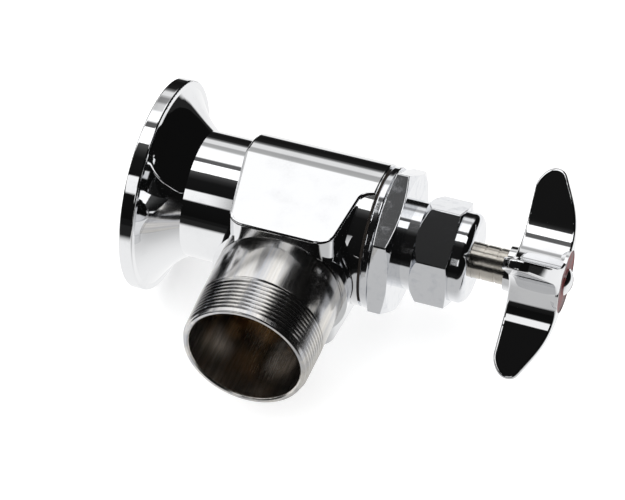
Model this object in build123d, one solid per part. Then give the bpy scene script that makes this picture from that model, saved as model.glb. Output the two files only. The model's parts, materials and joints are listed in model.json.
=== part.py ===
from build123d import *
import math
import os

# Angle-pattern compression stop valve, 2 inch outlet. All sizes are in millimetres.
#
# Frame: the origin is the centre of the inlet face, on the stem axis. +X runs along the stem axis to the
# handle, the outlet points along -Y, and +Z is the normal of the body's upper flat. The functions below
# work from the valve centre, where the stem axis crosses the outlet axis, and the writer at the end moves
# every piece by centre_to_face.

# Clearances
thread_gap = 0.05          # radial gap that stands for a made-up thread
running_gap = 0.05         # radial gap of a shaft or plug that turns or slides
slip_gap = 0.1             # radial gap of a piece that is dropped in
end_gap = 0.05             # axial gap between a turning face and a fixed one
spare_depth = 2.0          # depth of a tapped hole beyond its screw
overcut = 1.0              # how far a cutting shape runs past the surface that it cuts

# Inlet side
centre_to_face = 76.2      # valve centre to inlet face
flange_radius = 50.9
rim_width = 6.8
rim_round = 1.0
cone_length = 15.4
cone_top_radius = 47.6
cone_hollow = 2.2          # how far the cone dips below a straight line
flange_relief_depth = 2.5
flange_relief_inner = 33.0
flange_relief_outer = 44.0
neck_radius = 30.3
spigot_radius = 27.0       # threaded end of the neck that carries the flange
inlet_pipe_radius = 23.1   # pitch radius of the 1 1/2 inch pipe thread
inlet_pipe_depth = 24.0
inlet_bore_radius = 21.0

# Body
body_radius = 34.2         # half-round back and half the distance between the flats
body_reach_inlet = 32.0    # centre to the body's inlet end
body_reach_bonnet = 33.4   # centre to the bonnet joint
body_reach_outlet = 45.2   # centre to the end of the flats
flat_half_width = 24.0     # half width of the flats at the outlet end
flat_corner_radius = 8.0
shoulder_x = 27.6          # where the flat starts to narrow, on the bonnet side
shoulder_y = 9.0
shoulder_round = 5.0
shoulder_rise = 2.0        # fall of the shoulder's edge towards the outlet, at the collar
body_edge_round = 1.3
collar_wall = 4.7          # wall of the collar round the bonnet's thread
boss_radius = 32.6         # round boss that carries the outlet nipple
boss_reach = 44.2
root_depth = 10.0          # how far the neck and the boss reach back inside the block
chamber_room = 2.0         # room round the seat ring's flange
passage_radius = 27.0      # way from the chamber to the nipple

# Seat
seat_face_reach = 14.0     # centre back to the seating face
seat_bore_radius = 18.5
seat_lip_width = 2.0
seat_lip_height = 1.0
seat_flange_width = 2.0    # flange beyond the seat ring's thread
seat_flange_thickness = 2.5
seat_thread_radius = 23.0
seat_thread_length = 10.0
seat_gasket_thickness = 0.8

# Outlet nipple: 2 inch pipe with a tapered pipe thread
pipe_radius = 30.16
nipple_bore_radius = 26.25
nipple_reach = 91.4        # centre to the outlet mouth
nipple_room = 2.0          # between the bonnet's thread and the nipple's inner end
socket_thread_radius = 29.8
barrel_proud = 0.2         # start of the plain barrel beyond the body
thread_pitch = 2.209
thread_turns = 9
thread_depth = 1.1
thread_taper = 1.0 / 32.0  # fall of the radius per length
mouth_chamfer = 0.8

# Bonnet
bonnet_gasket_thickness = 1.0
bonnet_gasket_inset = 2.2  # gasket's edge inside the bonnet ring's edge
bonnet_ring_width = 3.6
bonnet_ring_round = 0.8
bonnet_hex_flats = 65.0
bonnet_hex_chamfers = (14.0, 22.0)  # degrees of the turned corners, at the ring and at the neck
bonnet_hex_round = 1.0
bonnet_hex_edge_round = 0.5
bonnet_hex_length = 9.2
bonnet_hex_turn = -9.0     # degrees of a face normal from the outlet axis
bonnet_thread_rise = 2.0   # bonnet's thread beyond the chamber, which lets the seat ring pass
bonnet_thread_length = 15.0
bonnet_neck_radius = 20.9
bonnet_neck_length = 7.6
guide_radius = 24.5        # plug guide
guide_reach = 44.0         # centre to the end of the guide bore
box_radius = 13.0          # packing box
box_reach = 62.0           # centre to the bottom of the packing box
box_depth = 10.4

# Packing
box_washer_thickness = 1.5
packing_count = 3
packing_thickness = 2.4
gland_nose = 1.7
gland_flange_radius = 16.5
gland_flange_thickness = 3.2

# Packing nut
nut_hex_flats = 45.3
nut_hex_length = 17.6
nut_hex_turn = 0.0
nut_hex_chamfers = (42.0, 12.0)     # degrees, at the open end and at the collar
nut_hex_round = 0.8
nut_hex_edge_round = 0.4
nut_thread_radius = 19.0
nut_collar_radius = 21.2
nut_collar_round = 4.2
nut_wall = 4.4             # end wall that presses the gland

# Stem
stem_radius = 8.3
stem_thread_rise = 1.1     # how far the power thread stands out of the stem
stem_thread_length = 18.0
stem_neck_radius = 8.0
stem_head_radius = 12.0
stem_head_length = 5.0
stem_square = 10.8
stem_square_length = 19.0
stem_groove_depth = 0.45
stem_groove_width = 0.9
stem_groove_spacing = 6.4
lift = 12.0                # travel from closed to fully open

# Plug, which carries the seat washer and doesn't turn
plug_disc_radius = 24.4
plug_disc_thickness = 6.0
plug_waist_radius = 15.5
plug_guide_length = 21.0
plug_taper = 2.5           # length of the tapers at both ends of the waist
washer_thickness = 6.0
washer_radius = 22.0
washer_proud = 2.0         # how far the seat washer stands out of its cup
retainer_radius = 12.0
retainer_thickness = 1.5
washer_screw_radius = 3.0
washer_screw_length = 14.0
washer_screw_head_flats = 10.0
washer_screw_head_height = 4.5
washer_screw_head_chamfers = (30.0, 15.0)
washer_screw_head_round = 0.3
washer_screw_head_edge_round = 0.15
swivel_thread_radius = 16.0
swivel_length = 9.0
swivel_slot_depth = 2.5
swivel_slot_width = 3.0
thrust_thickness = 1.3

# Handle
handle_gap = 15.5          # packing nut to handle hub, closed
hub_radius = 10.5
hub_length = 27.3
hub_collar = 4.0           # plain end of the hub before the arms begin
hub_side = [(8.0, 0.5), (18.0, 2.0)]    # (distance along the hub, growth of its radius)
square_set_back = 2.0      # start of the square inside the hub
seat_rim_radius = 15.4     # rim round the index disc
seat_rim_width = 1.4
index_radius = 14.6
index_thickness = 1.0
index_recess = 1.3
arm_reach = 49.6
arm_thickness = 5.0
arm_growth = 1.0           # growth of an arm's half thickness from its tip to the hollow
arm_web_radius = 23.0      # hollow between two arms
arm_turn = 41.0            # degrees of the first arm from the outlet axis, closed
arm_edge_round = 1.2
# Side outline of an arm from its heel round the tip to the hub: (behind the index face, inside arm_reach)
arm_side = [(24.0, 10.3), (21.8, 3.9), (17.0, 0.2), (12.6, 0.9), (10.0, 4.4), (2.9, 18.7)]
handle_screw_radius = 2.5
handle_screw_length = 18.0
screw_head_radius = 6.3
screw_head_height = 3.6
screw_head_edge = 0.8      # straight edge under the dome
screw_slot_width = 1.4
screw_slot_depth = 1.4

# Radii that follow from others
stem_thread_radius = stem_radius + stem_thread_rise
seat_flange_radius = seat_thread_radius + seat_flange_width
chamber_radius = seat_flange_radius + chamber_room
bonnet_thread_radius = chamber_radius + bonnet_thread_rise
collar_radius = bonnet_thread_radius + collar_wall

# Stations along the stem axis, from the valve centre
face_x = -centre_to_face
rim_x = face_x + rim_width
neck_x = rim_x + cone_length
seat_face_x = -seat_face_reach
seat_shoulder_x = seat_face_x - seat_lip_height - seat_flange_thickness
body_shoulder_x = seat_shoulder_x - seat_gasket_thickness
ring_x = body_reach_bonnet + bonnet_gasket_thickness
hex_x = ring_x + bonnet_ring_width
bonnet_neck_x = hex_x + bonnet_hex_length
nut_x = bonnet_neck_x + bonnet_neck_length
bonnet_end_x = box_reach + box_depth
packing_x = box_reach + box_washer_thickness
gland_x = packing_x + packing_count * packing_thickness
gland_flange_x = gland_x + gland_nose
nut_wall_x = gland_flange_x + gland_flange_thickness
nut_end_x = nut_wall_x + nut_wall
nut_collar_x = nut_x + nut_hex_length
spigot_start_x = ring_x - bonnet_thread_length
washer_back_x = seat_face_x + washer_thickness
plug_cup_x = seat_face_x + washer_proud
plug_waist_x = washer_back_x + plug_disc_thickness
plug_end_x = guide_reach - end_gap - lift - slip_gap
plug_guide_x = plug_end_x - plug_guide_length
swivel_x = plug_end_x - swivel_length
thrust_x = swivel_x - thrust_thickness
head_x = thrust_x - end_gap - stem_head_length
stem_thread_x = box_reach - slip_gap - lift - stem_thread_length
hub_x = nut_end_x + handle_gap
hub_end_x = hub_x + hub_length
index_back_x = hub_end_x - index_recess
screw_seat_x = index_back_x + index_thickness
handle_screw_x = screw_seat_x - handle_screw_length
square_x = hub_x + square_set_back
square_end_x = square_x + stem_square_length
socket_y = -bonnet_thread_radius - nipple_room      # inner end of the nipple, on the outlet axis


def rod(x0, x1, radius):
    """Solid round bar along the stem axis."""
    bar = Cylinder(radius, x1 - x0, align=(Align.CENTER, Align.CENTER, Align.MIN))
    return Pos(x0, 0, 0) * Rot(0, 90, 0) * bar


def tube(x0, x1, outer, inner):
    """Round sleeve along the stem axis."""
    return rod(x0, x1, outer) - rod(x0, x1, inner)


def branch_rod(y0, y1, radius):
    """Solid round bar along the outlet axis, from y0 down to y1."""
    bar = Cylinder(radius, y0 - y1, align=(Align.CENTER, Align.CENTER, Align.MIN))
    return Pos(0, y0, 0) * Rot(90, 0, 0) * bar


def hex_bar(x0, x1, flats, turn, chamfers, corner_round, edge_round):
    """Hexagonal bar along the stem axis, with its corners turned off at the two chamfer angles."""
    hexagon = Plane.YZ.offset(x0) * RegularPolygon(flats / 2, 6, major_radius=False, rotation=30 + turn)
    hexagon = fillet(hexagon.vertices(), corner_round)
    corner = flats / math.sqrt(3)
    drops = [(corner - flats / 2) * math.tan(math.radians(chamfer)) for chamfer in chamfers]
    start = [(x0, 0), (x0, flats / 2), (x0 + drops[0], corner)]
    end = [(x1 - drops[1], corner), (x1, flats / 2), (x1, 0)]
    bar = extrude(hexagon, x1 - x0) & spun(start + end)
    return fillet(bar.edges().filter_by(GeomType.LINE, reverse=True), edge_round)


def spun(points):
    """Solid turned about the stem axis from (station, radius) points."""
    return revolve(make_face(Polyline(*points, close=True)), Axis.X)


def body_block():
    """U-shaped block: a half-round back with two flats, cut to its outline seen from above."""
    deep = body_radius
    left = -body_reach_inlet
    right = body_reach_bonnet
    low = -body_reach_outlet
    back = ThreePointArc((0, deep), (deep, 0), (0, -deep))
    legs = Polyline((0, -deep), (low, -deep), (low, deep), (0, deep))
    block = extrude(Plane.YZ.offset(left) * make_face([back, legs]), right - left)
    top = deep + overcut
    plan = make_face(Polyline(
        (left, top), (left, 0), (-flat_half_width, low), (flat_half_width, low),
        (shoulder_x, -shoulder_y), (right, shoulder_rise - shoulder_y), (right, top), close=True))
    plan = fillet(plan.vertices().group_by(Axis.Y)[0], flat_corner_radius)
    plan = fillet([v for v in plan.vertices() if abs(v.X - shoulder_x) < end_gap], shoulder_round)
    block = block & extrude(plan, top, both=True)
    rim = [e for e in block.edges() if abs(abs(e.center().Z) - deep) < end_gap and e.center().Y < -end_gap]
    heel = [e for e in block.edges() if e.center().X < left + end_gap and e.center().Y > -end_gap]
    return fillet(rim + heel, body_edge_round)


def valve_body():
    """Cast body: block, collar for the bonnet, boss for the nipple and neck for the inlet."""
    shell = body_block() + rod(0, body_reach_bonnet, collar_radius)
    shell += branch_rod(-root_depth, -boss_reach, boss_radius)
    shell += rod(neck_x, -root_depth, neck_radius)
    shell += rod(face_x, neck_x, spigot_radius)
    shell -= rod(face_x, face_x + inlet_pipe_depth, inlet_pipe_radius)
    shell -= rod(face_x, body_shoulder_x, inlet_bore_radius)
    seat_thread_end = body_shoulder_x - seat_thread_length - slip_gap
    shell -= rod(seat_thread_end, body_shoulder_x, seat_thread_radius + thread_gap)
    shell -= rod(body_shoulder_x, body_reach_bonnet, chamber_radius)
    shell -= rod(spigot_start_x - slip_gap, body_reach_bonnet, bonnet_thread_radius + thread_gap)
    mouth_y = -body_reach_outlet - overcut
    window = Pos(0, mouth_y / 2, 0) * Box(-2 * body_shoulder_x, -mouth_y, 2 * pipe_radius)
    shell -= branch_rod(0, mouth_y, passage_radius) & window
    return shell - branch_rod(socket_y, mouth_y, socket_thread_radius + thread_gap)


def inlet_flange():
    """Trumpet flange that screws over the end of the neck and closes on the wall."""
    mid_x = (rim_x + neck_x) / 2
    mid_radius = (cone_top_radius + neck_radius) / 2 - cone_hollow
    cone = ThreePointArc((rim_x, cone_top_radius), (mid_x, mid_radius), (neck_x, neck_radius))
    bore = spigot_radius + thread_gap
    edge = Polyline((neck_x, neck_radius), (neck_x, bore), (face_x, bore), (face_x, flange_radius),
                    (rim_x, flange_radius), (rim_x, cone_top_radius))
    flange = revolve(make_face([cone, edge]), Axis.X)
    rim = [e for e in flange.edges().filter_by(GeomType.CIRCLE) if abs(e.radius - flange_radius) < end_gap]
    flange = fillet(rim, rim_round)
    return flange - tube(face_x, face_x + flange_relief_depth, flange_relief_outer, flange_relief_inner)


def seat_ring():
    """Screwed-in seat with a raised seating lip."""
    thread_end = body_shoulder_x - seat_thread_length
    lip_x = seat_face_x - seat_lip_height
    lip_radius = seat_bore_radius + seat_lip_width
    return spun([
        (thread_end, seat_bore_radius), (thread_end, seat_thread_radius),
        (seat_shoulder_x, seat_thread_radius), (seat_shoulder_x, seat_flange_radius),
        (lip_x, seat_flange_radius), (lip_x, lip_radius + seat_lip_height),
        (seat_face_x, lip_radius), (seat_face_x, seat_bore_radius)])


def seat_gasket():
    """Flat ring that seals the seat ring in the body."""
    return tube(body_shoulder_x, seat_shoulder_x, seat_flange_radius, seat_thread_radius + slip_gap)


def outlet_nipple():
    """Steel pipe nipple screwed into the boss, with a tapered pipe thread at its mouth."""
    mouth = nipple_reach
    start = mouth - thread_turns * thread_pitch

    def crest(reach):
        return pipe_radius - max(0.0, reach - start) * thread_taper

    barrel = body_reach_outlet + barrel_proud
    outer = [(socket_thread_radius, -socket_y), (socket_thread_radius, barrel), (pipe_radius, barrel)]
    for turn in range(thread_turns):
        at = start + turn * thread_pitch
        root = at + thread_pitch / 2
        outer += [(crest(at), at), (crest(root) - thread_depth, root)]
    outer += [(crest(mouth - mouth_chamfer), mouth - mouth_chamfer), (crest(mouth) - mouth_chamfer, mouth)]
    inner = [(nipple_bore_radius + mouth_chamfer, mouth), (nipple_bore_radius, mouth - mouth_chamfer),
             (nipple_bore_radius, -socket_y)]
    points = [(radius, -reach) for radius, reach in outer + inner]
    return revolve(make_face(Polyline(*points, close=True)), Axis.Y)


def bonnet_gasket():
    """Flat ring between the body's collar and the bonnet."""
    outer = collar_radius - bonnet_gasket_inset
    return tube(body_reach_bonnet, ring_x, outer, bonnet_thread_radius + slip_gap)


def bonnet():
    """Bonnet: thread into the body, round flange, hexagon, neck and packing box."""
    solid = rod(spigot_start_x, ring_x, bonnet_thread_radius)
    ring = rod(ring_x, hex_x, collar_radius)
    solid += fillet(ring.edges().filter_by(GeomType.CIRCLE), bonnet_ring_round)
    solid += hex_bar(hex_x, bonnet_neck_x, bonnet_hex_flats, bonnet_hex_turn, bonnet_hex_chamfers,
                     bonnet_hex_round, bonnet_hex_edge_round)
    solid += rod(bonnet_neck_x, nut_x, bonnet_neck_radius)
    solid += rod(nut_x, bonnet_end_x, nut_thread_radius)
    solid -= rod(spigot_start_x, guide_reach, guide_radius + running_gap)
    solid -= rod(guide_reach, box_reach, stem_thread_radius + running_gap)
    return solid - rod(box_reach, bonnet_end_x, box_radius)


def packing_washer():
    """Flat washer at the bottom of the packing box."""
    return tube(box_reach, packing_x, box_radius - slip_gap, stem_radius + running_gap)


def packing_ring(index):
    """One of the square packing rings that seal the stem."""
    start = packing_x + index * packing_thickness
    return tube(start, start + packing_thickness, box_radius - running_gap, stem_radius + running_gap)


def packing_gland():
    """Follower: a nose in the packing box and a flange under the nut's end wall."""
    bore = stem_radius + running_gap
    nose = tube(gland_x, gland_flange_x, box_radius - slip_gap, bore)
    return nose + tube(gland_flange_x, nut_wall_x, gland_flange_radius, bore)


def packing_nut():
    """Cap nut: hexagon, rounded collar and an end wall with a hole for the stem."""
    solid = hex_bar(nut_x, nut_collar_x, nut_hex_flats, nut_hex_turn, nut_hex_chamfers, nut_hex_round,
                    nut_hex_edge_round)
    collar = rod(nut_collar_x - overcut, nut_end_x, nut_collar_radius)
    solid += fillet(collar.edges().filter_by(GeomType.CIRCLE).sort_by(Axis.X)[-1], nut_collar_round)
    solid -= rod(nut_x, bonnet_end_x + slip_gap, nut_thread_radius + thread_gap)
    solid -= rod(bonnet_end_x, nut_wall_x, gland_flange_radius + slip_gap)
    return solid - rod(nut_wall_x, nut_end_x, stem_radius + 3 * running_gap)


def stem():
    """Stem: swivel head, power thread, packing length and a square for the handle."""
    solid = rod(head_x, head_x + stem_head_length, stem_head_radius)
    solid += rod(head_x, stem_thread_x, stem_neck_radius)
    solid += rod(stem_thread_x, stem_thread_x + stem_thread_length, stem_thread_radius)
    solid += rod(stem_thread_x + stem_thread_length, square_x, stem_radius)
    square = Plane.YZ.offset(square_x) * Rectangle(stem_square, stem_square, rotation=arm_turn)
    solid += extrude(square, stem_square_length)
    first = (nut_end_x + hub_x - stem_groove_spacing - stem_groove_width) / 2
    for start in (first, first + stem_groove_spacing):
        groove = rod(start, start + stem_groove_width, stem_radius + overcut)
        solid -= groove - rod(start, start + stem_groove_width, stem_radius - stem_groove_depth)
    return solid - rod(handle_screw_x - spare_depth, square_end_x, handle_screw_radius + thread_gap)


def plug():
    """Plug: cup for the seat washer, waist, guide and the pocket that holds the stem's head."""
    solid = spun([
        (plug_cup_x, 0), (plug_cup_x, plug_disc_radius), (plug_waist_x, plug_disc_radius),
        (plug_waist_x + plug_taper, plug_waist_radius), (plug_guide_x - plug_taper, plug_waist_radius),
        (plug_guide_x, guide_radius), (plug_end_x, guide_radius), (plug_end_x, 0)])
    solid -= rod(plug_cup_x, washer_back_x, washer_radius + slip_gap)
    screw_end_x = seat_face_x + washer_screw_length
    solid -= rod(washer_back_x, screw_end_x + spare_depth, washer_screw_radius + thread_gap)
    solid -= rod(head_x - end_gap, swivel_x, stem_head_radius + running_gap)
    return solid - rod(swivel_x, plug_end_x, swivel_thread_radius + thread_gap)


def seat_washer():
    """Rubber washer that closes on the seat."""
    return tube(seat_face_x, washer_back_x, washer_radius, washer_screw_radius + slip_gap)


def washer_retainer():
    """Plate that holds the seat washer in its cup."""
    under = seat_face_x - retainer_thickness
    return tube(under, seat_face_x, retainer_radius, washer_screw_radius + slip_gap)


def washer_screw():
    """Hexagon screw through the retainer, the seat washer and into the plug."""
    under = seat_face_x - retainer_thickness
    top = under - washer_screw_head_height
    head = hex_bar(
        top, under, washer_screw_head_flats, 0, washer_screw_head_chamfers, washer_screw_head_round,
        washer_screw_head_edge_round)
    return head + rod(under, seat_face_x + washer_screw_length, washer_screw_radius)


def thrust_washer():
    """Washer between the stem's head and the swivel nut."""
    return tube(thrust_x, swivel_x, stem_head_radius, stem_neck_radius + running_gap)


def swivel_nut():
    """Ring nut that keeps the stem's head in the plug."""
    solid = tube(swivel_x, plug_end_x, swivel_thread_radius, stem_neck_radius + running_gap)
    place = (Align.MAX, Align.CENTER, Align.CENTER)
    slot = Box(swivel_slot_depth, 2 * swivel_thread_radius, swivel_slot_width, align=place)
    return solid - Pos(plug_end_x, 0, 0) * slot


def handle_arms():
    """Four arms: a star with hollow sides, trimmed to the arms' side outline."""
    half = arm_thickness / 2
    near = half + arm_growth
    centre = near + arm_web_radius
    middle = centre - arm_web_radius / math.sqrt(2)
    far = arm_reach + overcut
    quarter = [
        Line((far, half), (centre, near)),
        ThreePointArc((centre, near), (middle, middle), (near, centre)),
        Line((near, centre), (half, far)),
        Line((half, far), (-half, far)),
    ]
    outline = [Rot(0, 0, 90 * k) * curve for k in range(4) for curve in quarter]
    star = extrude(Plane.YZ.offset(hub_x) * Rot(0, 0, arm_turn) * make_face(outline), hub_length)
    root_x = hub_x + hub_collar
    edge = [(hub_end_x - back, arm_reach - inside) for back, inside in arm_side]
    rim = (hub_end_x, index_radius)
    profile = [
        Polyline(rim, (hub_end_x, 0), (root_x, 0), (root_x, hub_radius), edge[0]),
        Spline(*edge, rim),
    ]
    arms = star & revolve(make_face(profile), Axis.X)
    curved = arms.edges().filter_by(GeomType.LINE, reverse=True)
    rims = [e for e in curved if math.hypot(e.center().Y, e.center().Z) > hub_radius + arm_edge_round]
    return fillet(rims, arm_edge_round)


def handle():
    """Cast handle: arms on a flared hub, with a seat for the index disc."""
    lip_x = hub_end_x - seat_rim_width
    flare = [(hub_x + along, hub_radius + growth) for along, growth in hub_side]
    profile = [
        Polyline((lip_x, seat_rim_radius), (hub_end_x, seat_rim_radius), (hub_end_x, 0), (hub_x, 0),
                 (hub_x, hub_radius), flare[0]),
        Spline(*flare, (lip_x, seat_rim_radius)),
    ]
    solid = handle_arms() + revolve(make_face(profile), Axis.X)
    solid -= rod(hub_x, square_x, stem_radius + slip_gap)
    side = stem_square + 2 * running_gap
    square = Plane.YZ.offset(square_x) * Rectangle(side, side, rotation=arm_turn)
    solid -= extrude(square, stem_square_length + slip_gap)
    solid -= rod(square_x, index_back_x, handle_screw_radius + slip_gap)
    return solid - rod(index_back_x, hub_end_x, index_radius + slip_gap)


def index_disc():
    """Plain coloured disc under the handle screw."""
    return tube(index_back_x, screw_seat_x, index_radius, handle_screw_radius + slip_gap)


def handle_screw():
    """Domed slotted screw that holds the handle on the stem."""
    top = screw_seat_x + screw_head_height
    edge_x = screw_seat_x + screw_head_edge
    rise = top - edge_x
    dome_radius = (rise**2 + screw_head_radius**2) / (2 * rise)
    half_angle = math.asin(screw_head_radius / dome_radius) / 2
    middle = (top - dome_radius * (1 - math.cos(half_angle)), dome_radius * math.sin(half_angle))
    profile = [
        Polyline((top, 0), (screw_seat_x, 0), (screw_seat_x, screw_head_radius), (edge_x, screw_head_radius)),
        ThreePointArc((edge_x, screw_head_radius), middle, (top, 0)),
    ]
    solid = revolve(make_face(profile), Axis.X)
    place = (Align.MAX, Align.CENTER, Align.CENTER)
    slot = Box(screw_slot_depth, 3 * screw_head_radius, screw_slot_width, align=place)
    solid -= Pos(top, 0, 0) * Rot(arm_turn, 0, 0) * slot
    return solid + rod(handle_screw_x, screw_seat_x, handle_screw_radius)


def pieces():
    """Every piece of the valve by its node name."""
    made = {
        "valve_body": valve_body(),
        "inlet_flange": inlet_flange(),
        "seat_ring": seat_ring(),
        "seat_gasket": seat_gasket(),
        "outlet_nipple": outlet_nipple(),
        "bonnet_gasket": bonnet_gasket(),
        "bonnet": bonnet(),
        "packing_washer": packing_washer(),
        "packing_gland": packing_gland(),
        "packing_nut": packing_nut(),
        "plug": plug(),
        "seat_washer": seat_washer(),
        "washer_retainer": washer_retainer(),
        "washer_screw": washer_screw(),
        "thrust_washer": thrust_washer(),
        "swivel_nut": swivel_nut(),
        "stem": stem(),
        "handle": handle(),
        "index_disc": index_disc(),
        "handle_screw": handle_screw(),
    }
    for index in range(packing_count):
        made[f"packing_ring_{index + 1}"] = packing_ring(index)
    return made


if __name__ == "__main__":
    os.makedirs("parts", exist_ok=True)
    for node, solid in pieces().items():
        export_step(Pos(centre_to_face, 0, 0) * solid, f"parts/{node}.step")
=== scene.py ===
import json
import math

import bmesh
import bpy
from mathutils import Matrix, Vector


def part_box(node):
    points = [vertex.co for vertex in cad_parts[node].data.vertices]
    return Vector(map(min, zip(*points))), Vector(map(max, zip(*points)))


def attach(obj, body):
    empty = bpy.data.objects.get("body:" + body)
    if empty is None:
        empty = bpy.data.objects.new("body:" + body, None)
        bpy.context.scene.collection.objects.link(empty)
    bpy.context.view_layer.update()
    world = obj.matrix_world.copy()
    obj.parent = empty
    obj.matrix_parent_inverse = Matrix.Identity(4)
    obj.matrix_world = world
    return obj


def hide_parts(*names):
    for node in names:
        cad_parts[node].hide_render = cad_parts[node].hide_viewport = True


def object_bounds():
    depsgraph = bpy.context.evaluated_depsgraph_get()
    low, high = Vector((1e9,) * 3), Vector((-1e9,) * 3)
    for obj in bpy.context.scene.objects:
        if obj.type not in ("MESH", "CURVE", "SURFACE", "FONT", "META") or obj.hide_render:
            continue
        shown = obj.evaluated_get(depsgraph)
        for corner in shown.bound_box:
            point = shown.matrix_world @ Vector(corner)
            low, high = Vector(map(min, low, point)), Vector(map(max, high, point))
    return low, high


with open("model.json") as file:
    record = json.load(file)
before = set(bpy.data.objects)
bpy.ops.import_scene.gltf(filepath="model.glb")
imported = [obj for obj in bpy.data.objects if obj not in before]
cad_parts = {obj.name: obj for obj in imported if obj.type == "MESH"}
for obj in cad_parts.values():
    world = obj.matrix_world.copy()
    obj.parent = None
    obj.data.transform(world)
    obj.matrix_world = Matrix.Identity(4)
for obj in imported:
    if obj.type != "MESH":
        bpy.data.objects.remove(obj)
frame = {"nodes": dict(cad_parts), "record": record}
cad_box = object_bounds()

nodes = frame["nodes"]
MM = 0.001
RISING = (0.0, 1.0)
FALLING = (1.0, 0.0)

# Places taken from the frame
floor_z = cad_box[0][2]
nipple_low, nipple_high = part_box("outlet_nipple")
outlet_x = (nipple_low[0] + nipple_high[0]) / 2
centre = Vector((outlet_x, 0.0, 0.0))
mounts = {mount["name"]: mount for mount in frame["record"]["mounts"]}
outlet_bore = mounts["outlet_bore"]["dims"]["r_mm"] * MM
barrel = mounts["outlet_barrel"]
shoulder = barrel["pos_m"][1] + barrel["dims"]["length_mm"] / 2 * MM    # where the plain barrel begins


# ---------------------------------------------------------------- materials: node helpers

def new_group(name, inputs, outputs):
    """Empty shader node group. inputs and outputs are (name, socket type, default) rows."""
    group = bpy.data.node_groups.new(name, "ShaderNodeTree")
    for label, kind, default in inputs:
        socket = group.interface.new_socket(label, in_out="INPUT", socket_type=kind)
        if default is not None:
            socket.default_value = default
    for label, kind in outputs:
        group.interface.new_socket(label, in_out="OUTPUT", socket_type=kind)
    return group, group.nodes.new("NodeGroupInput"), group.nodes.new("NodeGroupOutput")


def put(tree, kind, values=None, **links):
    """Adds a node, sets its plain values and links its inputs by name."""
    node = tree.nodes.new(kind)
    for name, value in (values or {}).items():
        if name in node.inputs:
            node.inputs[name].default_value = value
        else:
            setattr(node, name, value)
    for name, source in links.items():
        tree.links.new(source, node.inputs[name.replace("_", " ")])
    return node


def maths(tree, operation, first, second=None):
    """Math node; each operand is a socket or a number."""
    node = tree.nodes.new("ShaderNodeMath")
    node.operation = operation
    for index, operand in enumerate((first, second)):
        if operand is None:
            continue
        if isinstance(operand, (int, float)):
            node.inputs[index].default_value = operand
        else:
            tree.links.new(operand, node.inputs[index])
    return node.outputs[0]


def ranged(tree, value, source, target=RISING):
    """Map Range node with a smooth step from the source range to the target range."""
    node = tree.nodes.new("ShaderNodeMapRange")
    node.interpolation_type = "SMOOTHSTEP"
    for index, number in enumerate(source + target):
        node.inputs[index + 1].default_value = number
    tree.links.new(value, node.inputs[0])
    return node.outputs[0]


def window(tree, value, rise, fall):
    """1 between two edges and 0 outside; rise and fall are (from, to) ranges of the value."""
    return maths(tree, "MULTIPLY", ranged(tree, value, rise), ranged(tree, value, fall, FALLING))


def mixed(tree, factor, first, second):
    """Mix of two colours, sockets or RGBA tuples; inputs 0, 6 and 7 are the factor and the colours."""
    node = tree.nodes.new("ShaderNodeMix")
    node.data_type = "RGBA"
    for socket, operand in ((node.inputs[0], factor), (node.inputs[6], first), (node.inputs[7], second)):
        if isinstance(operand, (int, float, tuple)):
            socket.default_value = operand
        else:
            tree.links.new(operand, socket)
    return node.outputs[2]


# ---------------------------------------------------------------- materials: shared effects

FINE_FILM = 14.0            # fineness of the film's small marks against its patches
FILM_EDGE = (0.48, 0.72)    # noise values between which the film begins
LINE_EDGE = (0.35, 0.65)
GRAIN_EDGE = (0.12, 0.40)
RING_NOISE = 260.0          # scale of the unevenness of the tool rings
BROAD_GRAIN = 120.0


def make_polish_haze():
    """Faint wipe marks and film on a polished surface: a mask and a roughness to add."""
    group, given, out = new_group(
        "polish_haze",
        [("Vector", "NodeSocketVector", None), ("Patch Size", "NodeSocketFloat", 60.0),
         ("Amount", "NodeSocketFloat", 0.03)],
        [("Mask", "NodeSocketFloat"), ("Roughness", "NodeSocketFloat")])
    patches = put(group, "ShaderNodeTexNoise", {"Detail": 3.0}, Vector=given.outputs["Vector"],
                  Scale=given.outputs["Patch Size"])
    fine_scale = maths(group, "MULTIPLY", given.outputs["Patch Size"], FINE_FILM)
    fine = put(group, "ShaderNodeTexNoise", {"Detail": 2.0}, Vector=given.outputs["Vector"], Scale=fine_scale)
    mask = ranged(group, patches.outputs["Fac"], FILM_EDGE)
    mask = maths(group, "MULTIPLY", mask, fine.outputs["Fac"])
    group.links.new(mask, out.inputs["Mask"])
    group.links.new(maths(group, "MULTIPLY", mask, given.outputs["Amount"]), out.inputs["Roughness"])
    return group


def make_hairlines():
    """Fine polishing lines across one direction: a height for a bump and a 0 to 1 value."""
    group, given, out = new_group(
        "hairlines",
        [("Vector", "NodeSocketVector", None), ("Stretch", "NodeSocketVector", (1.0, 1.0, 1.0)),
         ("Scale", "NodeSocketFloat", 900.0)],
        [("Height", "NodeSocketFloat"), ("Value", "NodeSocketFloat")])
    stretched = put(group, "ShaderNodeVectorMath", {"operation": "MULTIPLY"})
    group.links.new(given.outputs["Vector"], stretched.inputs[0])
    group.links.new(given.outputs["Stretch"], stretched.inputs[1])
    lines = put(group, "ShaderNodeTexNoise", {"Detail": 4.0, "Roughness": 0.65},
                Vector=stretched.outputs[0], Scale=given.outputs["Scale"])
    group.links.new(lines.outputs["Fac"], out.inputs["Height"])
    group.links.new(ranged(group, lines.outputs["Fac"], LINE_EDGE), out.inputs["Value"])
    return group


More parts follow.
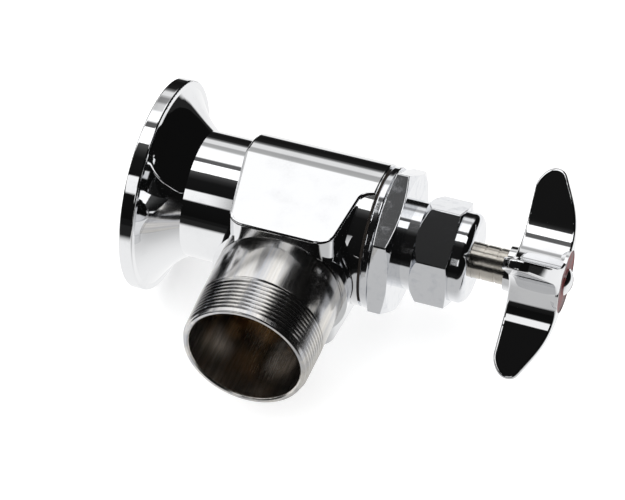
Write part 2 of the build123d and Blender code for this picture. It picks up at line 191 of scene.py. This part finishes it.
def make_tool_rings():
    """Rings left by a turning tool about an axis along X: a height and a 0 to 1 value."""
    group, given, out = new_group(
        "tool_rings",
        [("Vector", "NodeSocketVector", None), ("Pitch", "NodeSocketFloat", 0.0004),
         ("Wander", "NodeSocketFloat", 0.4)],
        [("Height", "NodeSocketFloat"), ("Value", "NodeSocketFloat")])
    parts = put(group, "ShaderNodeSeparateXYZ", Vector=given.outputs["Vector"])
    y_squared = maths(group, "MULTIPLY", parts.outputs["Y"], parts.outputs["Y"])
    z_squared = maths(group, "MULTIPLY", parts.outputs["Z"], parts.outputs["Z"])
    radius = maths(group, "SQRT", maths(group, "ADD", y_squared, z_squared))
    travel = maths(group, "ADD", parts.outputs["X"], radius)
    turns = maths(group, "DIVIDE", travel, given.outputs["Pitch"])
    noise = put(group, "ShaderNodeTexNoise", {"Scale": RING_NOISE, "Detail": 2.0},
                Vector=given.outputs["Vector"])
    wander = maths(group, "MULTIPLY", noise.outputs["Fac"], given.outputs["Wander"])
    turns = maths(group, "ADD", turns, wander)
    wave = maths(group, "SINE", maths(group, "MULTIPLY", turns, 2 * math.pi))
    value = ranged(group, wave, (-1.0, 1.0))
    group.links.new(value, out.inputs["Height"])
    group.links.new(maths(group, "MULTIPLY", value, noise.outputs["Fac"]), out.inputs["Value"])
    return group


def make_grain():
    """Even fine grain of a cast, pressed or moulded surface: a height and a 0 to 1 value."""
    group, given, out = new_group(
        "grain",
        [("Vector", "NodeSocketVector", None), ("Scale", "NodeSocketFloat", 1500.0)],
        [("Height", "NodeSocketFloat"), ("Value", "NodeSocketFloat")])
    noise = put(group, "ShaderNodeTexNoise", {"Detail": 3.0}, Vector=given.outputs["Vector"],
                Scale=given.outputs["Scale"])
    broad = put(group, "ShaderNodeTexNoise", {"Scale": BROAD_GRAIN, "Detail": 2.0},
                Vector=given.outputs["Vector"])
    group.links.new(noise.outputs["Fac"], out.inputs["Height"])
    value = maths(group, "MULTIPLY", noise.outputs["Fac"], broad.outputs["Fac"])
    group.links.new(ranged(group, value, GRAIN_EDGE), out.inputs["Value"])
    return group


haze = make_polish_haze()
hairlines = make_hairlines()
tool_rings = make_tool_rings()
grain = make_grain()


# ---------------------------------------------------------------- materials: finishes

CHROME_LINES = 1400.0       # scale of the polishing lines on every chrome
LINE_SHARE = 0.3            # roughness of the polishing lines against the film's

# Satin pipe: scale and lengthwise stretch of its bands, streaks and fine lines
PIPE_BANDS = {"Stretch": (1.0, 0.03, 1.0), "Scale": 95.0}
PIPE_STREAKS = {"Stretch": (1.0, 0.04, 1.0), "Scale": 420.0}
PIPE_FINE = {"Stretch": (1.0, 0.05, 1.0), "Scale": 2200.0}
PIPE_COOL = (0.52, 0.53, 0.56, 1)
PIPE_WARM = (0.80, 0.78, 0.74, 1)
PIPE_STREAK = (0.62, 0.58, 0.52, 1)
PIPE_FILM = (0.50, 0.50, 0.52, 1)
STREAK_SHARE = 0.35
BORE_DARK = (0.62, 0.57, 0.52, 1)
BORE_LIGHT = (0.90, 0.87, 0.83, 1)
BORE_EDGE = (outlet_bore + 0.15 * MM, outlet_bore + 0.55 * MM)
PIPE_ROUGHNESS = 0.14
PIPE_FINE_ROUGHNESS = 0.08
BORE_ROUGHNESS = 0.05       # added inside
BORE_WAVES = 12.0           # unevenness of the drawn bore against the fine lines
PIPE_BUMP = 0.000008

FILM_DARKENING = 0.7        # colour under the film on turned metal
RING_ROUGHNESS = 0.12
GRAIN_ROUGHNESS = 0.15


def start_material(name, metallic, roughness):
    """New material: returns it, its tree, its Principled shader and the object coordinates."""
    material = bpy.data.materials.new(name)
    material.use_nodes = True
    tree = material.node_tree
    shader = tree.nodes["Principled BSDF"]
    shader.inputs["Metallic"].default_value = metallic
    shader.inputs["Roughness"].default_value = roughness
    place = tree.nodes.new("ShaderNodeTexCoord").outputs["Object"]
    return material, tree, shader, place


def use_group(tree, group, place, **values):
    """Places a shared effect in a material with its own values."""
    node = tree.nodes.new("ShaderNodeGroup")
    node.node_tree = group
    tree.links.new(place, node.inputs["Vector"])
    for name, value in values.items():
        node.inputs[name.replace("_", " ")].default_value = value
    return node


def bump(tree, shader, height, distance):
    """Bump from a height into the shader's normal."""
    node = put(tree, "ShaderNodeBump", {"Distance": distance, "Strength": 1.0}, Height=height)
    tree.links.new(node.outputs["Normal"], shader.inputs["Normal"])


def chrome(name, tint, dark_tint, roughness, haze_amount, patch_size, line_stretch, line_depth):
    """Mirror chrome plate with a faint film and fine polishing lines."""
    material, tree, shader, place = start_material(name, 1.0, roughness)
    film = use_group(tree, haze, place, Patch_Size=patch_size, Amount=haze_amount)
    lines = use_group(tree, hairlines, place, Stretch=line_stretch, Scale=CHROME_LINES)
    tree.links.new(mixed(tree, film.outputs["Mask"], tint, dark_tint), shader.inputs["Base Color"])
    spread = maths(tree, "MULTIPLY", lines.outputs["Value"], haze_amount * LINE_SHARE)
    rough = maths(tree, "ADD", maths(tree, "ADD", film.outputs["Roughness"], spread), roughness)
    tree.links.new(rough, shader.inputs["Roughness"])
    bump(tree, shader, lines.outputs["Height"], line_depth)
    return material


def satin_pipe():
    """Satin stainless pipe: soft bands and fine streaks along its axis, warmer and duller in the bore."""
    material, tree, shader, place = start_material("satin_pipe_steel", 1.0, PIPE_ROUGHNESS)
    bands = use_group(tree, hairlines, place, **PIPE_BANDS)
    streaks = use_group(tree, hairlines, place, **PIPE_STREAKS)
    fine = use_group(tree, hairlines, place, **PIPE_FINE)
    film = use_group(tree, haze, place, Patch_Size=45.0, Amount=0.05)
    colour = mixed(tree, bands.outputs["Value"], PIPE_COOL, PIPE_WARM)
    streak_amount = maths(tree, "MULTIPLY", streaks.outputs["Value"], STREAK_SHARE)
    colour = mixed(tree, streak_amount, colour, PIPE_STREAK)
    colour = mixed(tree, film.outputs["Mask"], colour, PIPE_FILM)
    # Inside or outside is told by the distance from the outlet axis
    part = put(tree, "ShaderNodeSeparateXYZ", Vector=place)
    across = maths(tree, "SUBTRACT", part.outputs["X"], centre.x)
    square = maths(tree, "ADD", maths(tree, "MULTIPLY", across, across),
                   maths(tree, "MULTIPLY", part.outputs["Z"], part.outputs["Z"]))
    bore = ranged(tree, maths(tree, "SQRT", square), BORE_EDGE, FALLING)
    worn = mixed(tree, streaks.outputs["Value"], BORE_DARK, BORE_LIGHT)
    tree.links.new(mixed(tree, bore, colour, worn), shader.inputs["Base Color"])
    fine_rough = maths(tree, "MULTIPLY", fine.outputs["Value"], PIPE_FINE_ROUGHNESS)
    rough = maths(tree, "ADD", fine_rough, PIPE_ROUGHNESS)
    rough = maths(tree, "ADD", rough, maths(tree, "MULTIPLY", bore, BORE_ROUGHNESS))
    tree.links.new(maths(tree, "ADD", rough, film.outputs["Roughness"]), shader.inputs["Roughness"])
    wavy = maths(tree, "MULTIPLY", maths(tree, "MULTIPLY", bands.outputs["Height"], bore), BORE_WAVES)
    bump(tree, shader, maths(tree, "ADD", fine.outputs["Height"], wavy), PIPE_BUMP)
    return material


def turned_metal(name, light, dark, roughness, pitch, depth):
    """Machined metal with the rings of the turning tool."""
    material, tree, shader, place = start_material(name, 1.0, roughness)
    rings = use_group(tree, tool_rings, place, Pitch=pitch, Wander=0.5)
    film = use_group(tree, haze, place, Patch_Size=90.0, Amount=0.15)
    colour = mixed(tree, rings.outputs["Value"], dark, light)
    filmed = tuple(FILM_DARKENING * part for part in dark[:3]) + (1,)
    colour = mixed(tree, film.outputs["Mask"], colour, filmed)
    tree.links.new(colour, shader.inputs["Base Color"])
    rough = maths(tree, "ADD", maths(tree, "MULTIPLY", rings.outputs["Value"], RING_ROUGHNESS), roughness)
    tree.links.new(maths(tree, "ADD", rough, film.outputs["Roughness"]), shader.inputs["Roughness"])
    bump(tree, shader, rings.outputs["Height"], depth)
    return material


def grained(name, light, dark, roughness, scale, depth):
    """Matte pressed or moulded material with an even grain."""
    material, tree, shader, place = start_material(name, 0.0, roughness)
    speckle = use_group(tree, grain, place, Scale=scale)
    tree.links.new(mixed(tree, speckle.outputs["Value"], dark, light), shader.inputs["Base Color"])
    rough = maths(tree, "ADD", maths(tree, "MULTIPLY", speckle.outputs["Value"], GRAIN_ROUGHNESS), roughness)
    tree.links.new(rough, shader.inputs["Roughness"])
    bump(tree, shader, speckle.outputs["Height"], depth)
    return material


CHROME_TINT = (0.82, 0.825, 0.835, 1)
CHROME_DARK = (0.72, 0.725, 0.74, 1)
finish = {
    "polished_chrome": chrome("polished_chrome_plate", CHROME_TINT, CHROME_DARK, 0.015, 0.05, 50.0,
                              (0.05, 1.0, 1.0), 0.0000015),
    "fitting_chrome": chrome("fitting_chrome_plate", (0.80, 0.81, 0.83, 1), (0.66, 0.68, 0.72, 1), 0.03, 0.10,
                             220.0, (0.4, 1.0, 1.0), 0.000003),
    "handle_chrome": chrome("handle_chrome_plate", CHROME_TINT, CHROME_DARK, 0.02, 0.06, 60.0,
                            (1.0, 0.2, 1.0), 0.000002),
    "satin_steel": satin_pipe(),
    "stem_nickel": turned_metal("turned_nickel", (0.74, 0.71, 0.66, 1), (0.50, 0.47, 0.42, 1), 0.16,
                                0.0005, 0.000006),
    "seat_steel": turned_metal("turned_seat_steel", (0.68, 0.68, 0.67, 1), (0.50, 0.50, 0.50, 1), 0.18,
                               0.0004, 0.00001),
    "bronze": turned_metal("machined_bronze", (0.72, 0.49, 0.26, 1), (0.46, 0.28, 0.13, 1), 0.25,
                           0.0005, 0.000012),
    "packing_yarn": grained("graphited_packing", (0.16, 0.155, 0.15, 1), (0.05, 0.05, 0.05, 1), 0.6,
                            900.0, 0.00012),
    "gasket_fibre": grained("pressed_fibre", (0.06, 0.045, 0.035, 1), (0.03, 0.022, 0.018, 1), 0.7, 1300.0,
                            0.00005),
    "rubber_black": grained("moulded_rubber", (0.035, 0.035, 0.036, 1), (0.018, 0.018, 0.019, 1), 0.5,
                            2200.0, 0.00002),
    "index_red": grained("matte_red_disc", (0.25, 0.03, 0.03, 1), (0.06, 0.008, 0.008, 1), 0.4, 2200.0,
                         0.00006),
}

# The hexagon fittings are less finely polished than the body
FITTING_FINISH = {"bonnet": "fitting_chrome", "packing_nut": "fitting_chrome"}


def paint_nodes():
    """Gives every carried-over CAD node the finish of its material slot."""
    slots = {row["node"]: row["material_slot"] for row in frame["record"]["subparts"]}
    for name, node in nodes.items():
        for slot in node.material_slots:
            slot.material = finish[FITTING_FINISH.get(name, slots[name])]


paint_nodes()


# ---------------------------------------------------------------- outlet nipple with its real thread

PITCH = 2.209 * MM          # 11.5 threads to the inch
CREST_FLAT = 0.75 * MM      # flat left on the top of the thread
ROOT_FLAT = 0.25 * MM
THREAD_DEPTH = 0.75 * MM
THREAD_LENGTH = 9.4 * PITCH
THREAD_END = 0.75           # last part of a turn: the thread runs out on the underside
TAPER = 1.0 / 32.0          # fall of the radius per length
RUN_OUT = 0.6 * MM          # slope from the barrel down to the thread's root
RIDGE_START = 0.2 * MM
RIDGE_SUNK = 0.3 * MM       # how deep the ridge's foot sits in the barrel
MOUTH_ROOM = 1.0 * MM       # plain stretch between the last turn and the mouth
MOUTH_CHAMFER = 0.5 * MM
BORE_LEAD_IN = 0.8 * MM
EDGE_BEVEL = 0.15 * MM
BEVEL_ANGLE = math.radians(25)
SHADING_ANGLE = math.radians(28)
SPIGOT_RADIUS = 29.8 * MM   # end inside the body's socket
WELD = 1e-6
ROUND_STEPS = 144


def spin_round(form, geometry, turns, drop):
    """Turns a profile about the outlet axis, falling by drop along it over the whole way."""
    steps = int(round(ROUND_STEPS * turns))
    closed = drop == 0.0
    bmesh.ops.spin(form, geom=geometry, cent=(outlet_x, 0.0, 0.0), axis=(0.0, -1.0, 0.0),
                   dvec=(0.0, -drop / steps, 0.0), angle=2 * math.pi * turns, steps=steps,
                   use_merge=closed, use_duplicate=False)


def profile_loop(form, points):
    """Closed flat outline from (radius, station along the outlet) points: returns its geometry."""
    disc = bmesh.ops.create_circle(form, cap_ends=True, segments=len(points), radius=1.0)["verts"]
    for vert, (radius, station) in zip(disc, points):
        vert.co = (outlet_x + radius, station, 0.0)
    faces = list({face for vert in disc for face in vert.link_faces})
    edges = list({edge for vert in disc for edge in vert.link_edges})
    return disc, edges, faces


def smooth_barrel(radius, start, mouth, root, mouth_radius):
    """Barrel without its thread: spigot, plain stretch, tapered root, chamfered mouth and bore."""
    form = bmesh.new()
    verts, edges, faces = profile_loop(form, [
        (outlet_bore, nipple_high[1]), (SPIGOT_RADIUS, nipple_high[1]), (SPIGOT_RADIUS, shoulder),
        (radius, shoulder), (radius, start), (root, start - RUN_OUT), (mouth_radius, mouth + MOUTH_CHAMFER),
        (mouth_radius - MOUTH_CHAMFER, mouth), (outlet_bore + BORE_LEAD_IN, mouth),
        (outlet_bore, mouth + BORE_LEAD_IN)])
    bmesh.ops.delete(form, geom=faces, context="FACES_ONLY")
    spin_round(form, verts + edges, 1.0, 0.0)
    bmesh.ops.remove_doubles(form, verts=form.verts, dist=WELD)
    sharp = [edge for edge in form.edges
             if edge.is_manifold and edge.calc_face_angle(0.0) > BEVEL_ANGLE]
    bmesh.ops.bevel(form, geom=sharp, offset=EDGE_BEVEL, offset_type="OFFSET", segments=2, profile=0.5,
                    affect="EDGES", material=-1, clamp_overlap=True)
    return form


def thread_ridge(radius, start, root):
    """Ridge of the thread: one more closed solid, sunk into the root and winding round it with its taper."""
    sunk = root - RIDGE_SUNK
    half_crest = CREST_FLAT / 2
    half_foot = (PITCH - ROOT_FLAT) / 2
    ridge = bmesh.new()
    turns = math.floor((THREAD_LENGTH - PITCH - MOUTH_ROOM) / PITCH) + THREAD_END
    first = start - RIDGE_START - PITCH / 2
    verts, edges, faces = profile_loop(ridge, [
        (sunk, first + half_foot), (sunk, first - half_foot), (root, first - half_foot),
        (radius, first - half_crest), (radius, first + half_crest), (root, first + half_foot)])
    spin_round(ridge, verts + edges + faces, turns, turns * PITCH)
    for vert in ridge.verts:
        fall = TAPER * (start - vert.co.y)
        out = Vector((vert.co.x - outlet_x, 0.0, vert.co.z))
        vert.co -= out.normalized() * fall
    bmesh.ops.remove_doubles(ridge, verts=ridge.verts, dist=WELD)
    open_ends = [edge for edge in ridge.edges if edge.is_boundary]
    bmesh.ops.holes_fill(ridge, edges=open_ends)
    return ridge


def nipple_piece():
    """Pipe nipple: plain barrel, chamfered mouth and one continuous tapered thread."""
    radius = (nipple_high[0] - nipple_low[0]) / 2
    mouth = nipple_low[1]
    start = mouth + THREAD_LENGTH
    root = radius - THREAD_DEPTH
    form = smooth_barrel(radius, start, mouth, root, root - THREAD_LENGTH * TAPER)
    ridge = thread_ridge(radius, start, root)
    spare = bpy.data.meshes.new("thread_ridge")
    ridge.to_mesh(spare)
    ridge.free()
    form.from_mesh(spare)
    bpy.data.meshes.remove(spare)
    bmesh.ops.recalc_face_normals(form, faces=form.faces)
    for face in form.faces:
        face.smooth = True
    mesh = bpy.data.meshes.new("threaded_nipple")
    form.to_mesh(mesh)
    form.free()
    mesh.set_sharp_from_angle(angle=SHADING_ANGLE)
    piece = bpy.data.objects.new("threaded_nipple", mesh)
    bpy.context.scene.collection.objects.link(piece)
    mesh.materials.append(finish["satin_steel"])
    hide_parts("outlet_nipple")
    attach(piece, "valve")


nipple_piece()


# ---------------------------------------------------------------- studio

HALF_TURN = 180.0
ROOM_LIGHT = 1.3            # what matte surfaces receive from every side
DARKEST = 0.006

# (angle in degrees from the back, brightness) of the strips: behind, above, and dark in front
STRIPS = [(0, 0.012), (13, 0.02), (18, 0.25), (22, 1.1), (31, 1.1), (34, 0.55), (41, 0.6), (45, 1.5),
          (55, 1.6), (69, 1.7), (71.5, 0.16), (79, 0.16), (82, 0.12), (99, 0.10), (106, 0.04),
          (113, 0.012), (130, 0.01), (180, 0.006)]
STRIP_END = (0.16, 0.34)    # the strips end on the handle's side
GAP_LOSS = 0.66             # how much darker the gap between two strips is, towards the inlet
INLET_CARD = 1.4
HANDLE_CARD = 1.3


def arc(start, stop):
    """Range of the angle about the stem axis, from degrees to parts of a half turn."""
    return start / HALF_TURN, stop / HALF_TURN


def strip_light(tree, angle, along):
    """Light of the strips: bright and dark bands by angle, with an end and a gap along the stem axis."""
    ramp = tree.nodes.new("ShaderNodeValToRGB")
    tree.links.new(angle, ramp.inputs["Fac"])
    elements = ramp.color_ramp.elements
    while len(elements) > 1:
        elements.remove(elements[-1])
    for index, (degrees, light) in enumerate(STRIPS):
        element = elements[0] if index == 0 else elements.new(degrees / HALF_TURN)
        element.position = degrees / HALF_TURN
        element.color = (light, light, light, 1)
    gap = maths(tree, "MULTIPLY", window(tree, along, (-0.43, -0.40), (-0.31, -0.28)),
                window(tree, angle, arc(28, 31), arc(53, 57)))
    kept = maths(tree, "SUBTRACT", 1.0, maths(tree, "MULTIPLY", gap, GAP_LOSS))
    reach = maths(tree, "MULTIPLY", ranged(tree, along, STRIP_END, FALLING), kept)
    return maths(tree, "MULTIPLY", ramp.outputs["Color"], reach)


def card_light(tree, angle, along):
    """Two low cards of light in front, one towards the inlet and a higher one towards the handle."""
    inlet = maths(tree, "MULTIPLY", window(tree, angle, arc(132, 134), arc(150, 153)),
                  ranged(tree, along, (-0.275, -0.25), (INLET_CARD, 0.0)))
    handle_reach = maths(tree, "MULTIPLY", window(tree, along, (-0.18, -0.165), (0.0, 0.1)), HANDLE_CARD)
    handle = maths(tree, "MULTIPLY", window(tree, angle, arc(143, 145), arc(158, 161)), handle_reach)
    return maths(tree, "ADD", inlet, handle)


def studio_world():
    """Studio round the valve: long light strips over and behind it, dark elsewhere, white for the camera.

    The strips run along the stem axis, so a strip is a range of the angle about that axis: 0 degrees is
    level behind the valve, 90 is straight up and 180 is level in front.
    """
    world = bpy.data.worlds.new("studio")
    bpy.context.scene.world = world
    world.use_nodes = True
    tree = world.node_tree
    tree.nodes.clear()
    direction = tree.nodes.new("ShaderNodeTexCoord").outputs["Generated"]
    part = put(tree, "ShaderNodeSeparateXYZ", Vector=direction)
    along = part.outputs["X"]
    angle = maths(tree, "ARCTAN2", part.outputs["Z"], part.outputs["Y"])
    angle = maths(tree, "DIVIDE", angle, math.pi)
    light = maths(tree, "ADD", strip_light(tree, angle, along), card_light(tree, angle, along))
    light = maths(tree, "MAXIMUM", light, DARKEST)
    rays = tree.nodes.new("ShaderNodeLightPath")
    room = maths(tree, "MULTIPLY", rays.outputs["Is Diffuse Ray"], ROOM_LIGHT)
    light = maths(tree, "MAXIMUM", light, room)
    seen = rays.outputs["Is Camera Ray"]
    strength = maths(tree, "ADD", seen, maths(tree, "MULTIPLY", maths(tree, "SUBTRACT", 1.0, seen), light))
    ground = put(tree, "ShaderNodeBackground", Strength=strength)
    tree.links.new(ground.outputs[0], put(tree, "ShaderNodeOutputWorld").inputs["Surface"])


def sheet(name, place, size, material):
    """Level rectangular sheet of the studio, centred at a place."""
    mesh = bpy.data.meshes.new(name)
    form = bmesh.new()
    bmesh.ops.create_grid(form, x_segments=1, y_segments=1, size=0.5)
    bmesh.ops.scale(form, verts=form.verts, vec=(size[0], size[1], 1.0))
    bmesh.ops.translate(form, verts=form.verts, vec=place)
    form.to_mesh(mesh)
    form.free()
    made = bpy.data.objects.new(name, mesh)
    bpy.context.scene.collection.objects.link(made)
    mesh.materials.append(material)
    return made


def mirror_only(made):
    """Leaves a sheet to be seen only in the polished metal."""
    made.visible_camera = False
    made.visible_diffuse = False
    made.visible_shadow = False
    made.visible_transmission = False


FLOOR_SIZE = (6.0, 6.0)
FLOOR_DROP = 0.2 * MM       # the floor's distance under the valve; the patch is half as far
FLOOR_LOOK = {"Base Color": (0.9, 0.9, 0.9, 1), "Roughness": 0.9, "Emission Color": (1, 1, 1, 1),
              "Emission Strength": 0.3}
# Glowing patch: a painted reflection of the floor, seen only in the metal, fading from its centre
PATCH_SIZE = (1.2, 1.2)
PATCH_CENTRE = (centre.x + 0.03, centre.y + 0.05, floor_z)
PATCH_EDGE = (0.25, 0.33)   # distance over which the lit patch fades
PATCH_LIGHT = (1.0, 0.02)
# Painted shadow: the glowing patch is darker in front of the valve, between these edges, by SHADE_LOSS
SHADE_FRONT = (-0.06, 0.0)
SHADE_SIDE = (centre.x - 0.06, centre.x + 0.02)
SHADE_LOSS = 0.42
PANEL_HEIGHT = 0.40
PANEL_WIDTH = 0.13
PANEL_LIGHT = 1.5
PANELS = [("inlet_panel", -0.70, -0.045), ("handle_panel", -0.012, 0.30)]


def glowing(name):
    """Material that only gives light: returns it with its tree."""
    material = bpy.data.materials.new(name)
    material.use_nodes = True
    material.node_tree.nodes.clear()
    return material, material.node_tree


def give_light(tree, light):
    """Ends a glowing material with its emission."""
    tree.links.new(light.outputs[0], put(tree, "ShaderNodeOutputMaterial").inputs["Surface"])


def floor():
    """Pale floor for the eye; the polished metal mirrors the glowing patch in its place, a painted reflection
    of the floor.
    """
    pale = bpy.data.materials.new("pale_floor")
    pale.use_nodes = True
    for socket, value in FLOOR_LOOK.items():
        pale.node_tree.nodes["Principled BSDF"].inputs[socket].default_value = value
    seen = sheet("floor", (centre.x, centre.y, floor_z - FLOOR_DROP), FLOOR_SIZE, pale)
    seen.visible_glossy = False


def floor_patch():
    """Glowing patch that stands in for the lit floor in the metal's reflections (a painted reflection), with
    a painted shadow: less light in front of the bonnet and the handle.
    """
    patch, tree = glowing("painted_floor_reflection")
    place = tree.nodes.new("ShaderNodeTexCoord").outputs["Object"]
    from_centre = put(tree, "ShaderNodeVectorMath", {"operation": "DISTANCE"})
    tree.links.new(place, from_centre.inputs[0])
    from_centre.inputs[1].default_value = PATCH_CENTRE
    glow = ranged(tree, from_centre.outputs["Value"], PATCH_EDGE, PATCH_LIGHT)
    part = put(tree, "ShaderNodeSeparateXYZ", Vector=place)
    # painted shadow of the valve on the glowing patch, in front of the bonnet and the handle
    shade = maths(tree, "MULTIPLY", ranged(tree, part.outputs["Y"], SHADE_FRONT, FALLING),
                  ranged(tree, part.outputs["X"], SHADE_SIDE))
    lit = maths(tree, "SUBTRACT", 1.0, maths(tree, "MULTIPLY", shade, SHADE_LOSS))
    give_light(tree, put(tree, "ShaderNodeEmission", Strength=maths(tree, "MULTIPLY", glow, lit)))
    mirror_only(sheet("floor_patch", (centre.x, centre.y, floor_z - FLOOR_DROP / 2), PATCH_SIZE, patch))


def overhead_lights():
    """Two long panels over the stem axis with a dark gap between them, above the bonnet."""
    panel, tree = glowing("overhead_panel")
    give_light(tree, put(tree, "ShaderNodeEmission", {"Strength": PANEL_LIGHT}))
    for name, start, end in PANELS:
        place = (centre.x + (start + end) / 2, 0.0, PANEL_HEIGHT)
        mirror_only(sheet(name, place, (end - start, PANEL_WIDTH), panel))


def soft_light(name, place, size, power):
    """Large square light that looks at the valve; the metal doesn't mirror it."""
    data = bpy.data.lights.new(name, "AREA")
    data.size = size
    data.energy = power
    light = bpy.data.objects.new(name, data)
    bpy.context.scene.collection.objects.link(light)
    light.location = place
    light.rotation_euler = (centre - Vector(place)).to_track_quat("-Z", "Y").to_euler()
    light.visible_glossy = False


CAMERA_PLACE = (0.3552, -0.8001, 0.8499)
CAMERA_RIGHT = (0.9449, 0.3273, -0.0013)
CAMERA_UP = (-0.2336, 0.6773, 0.6976)
LENS = 148.26
SENSOR = 36.0
NEAREST = 0.01


def camera():
    """Long lens from the front, above the outlet and a little to the handle's side."""
    data = bpy.data.cameras.new("camera")
    data.sensor_width = SENSOR
    data.lens = LENS
    data.clip_start = NEAREST
    view = bpy.data.objects.new("camera", data)
    bpy.context.scene.collection.objects.link(view)
    right = Vector(CAMERA_RIGHT)
    back = right.cross(Vector(CAMERA_UP)).normalized()
    upward = back.cross(right.normalized())
    turned = Matrix((right.normalized(), upward, back)).transposed().to_4x4()
    view.matrix_world = Matrix.Translation(CAMERA_PLACE) @ turned
    bpy.context.scene.camera = view


studio_world()
floor()
floor_patch()
overhead_lights()
soft_light("key", (centre.x - 0.5, -0.3, 1.5), size=2.0, power=8.0)
soft_light("fill", (centre.x + 0.8, -0.9, 1.2), size=1.8, power=5.0)
camera()
bpy.context.scene.view_settings.view_transform = "Standard"
